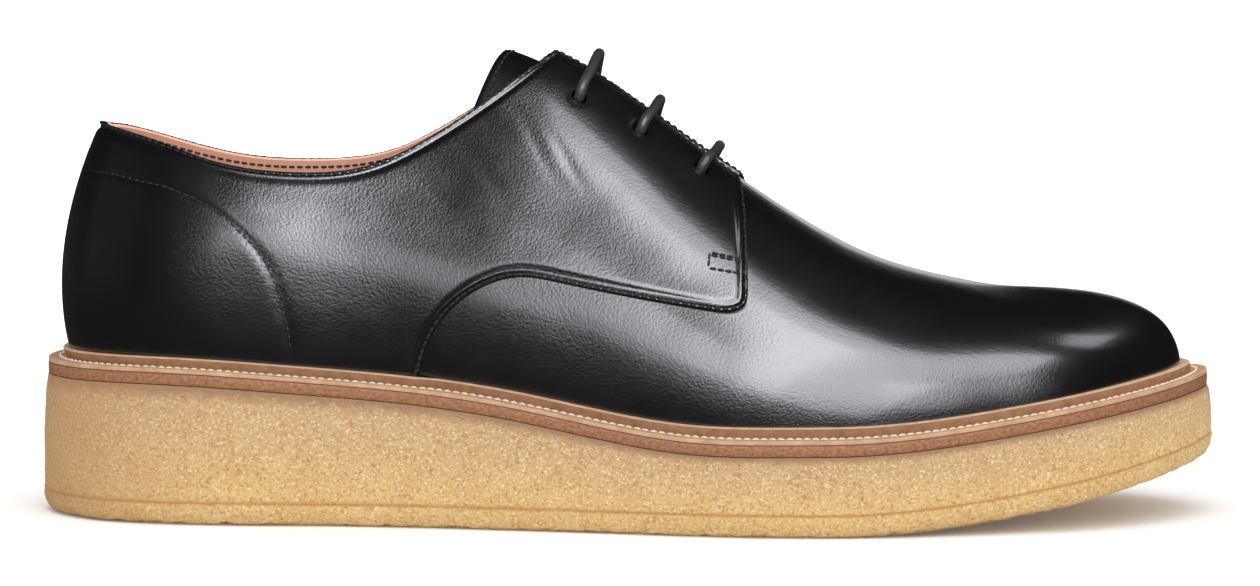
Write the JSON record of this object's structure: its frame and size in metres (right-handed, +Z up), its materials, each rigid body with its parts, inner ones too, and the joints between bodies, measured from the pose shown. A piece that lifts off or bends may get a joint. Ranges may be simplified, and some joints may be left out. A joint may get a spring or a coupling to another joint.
{
  "type": "derby shoe",
  "caption": "Right-foot leather derby shoe with a lace-up throat, a stitched storm welt, a leather midsole and a flat crepe wedge sole.",
  "frame": {"origin": "on the floor, at the middle of the sole's length and width", "axes": "+X towards the toe, +Z up, -Y towards the outer side of the right foot"},
  "size_m": [0.3094, 0.1136, 0.1222],
  "materials": {
    "outsole_crepe": "matte, wrinkled",
    "wedge_crepe": "matte, wrinkled",
    "midsole_leather": "satin edge",
    "welt_leather": "matte, napped wall",
    "lining_leather": "matte",
    "upper_leather": "polished, fine grain",
    "lace_cord": "waxed"
  },
  "bodies": {
    "root": {"crepe_outsole": "outsole_crepe", "crepe_wedge": "wedge_crepe", "leather_midsole": "midsole_leather", "storm_welt": "welt_leather", "insole": "lining_leather", "upper": "upper_leather", "quarter_outer": "upper_leather", "quarter_inner": "upper_leather", "tongue": "upper_leather", "laces": "lace_cord"}
  },
  "joints": []
}
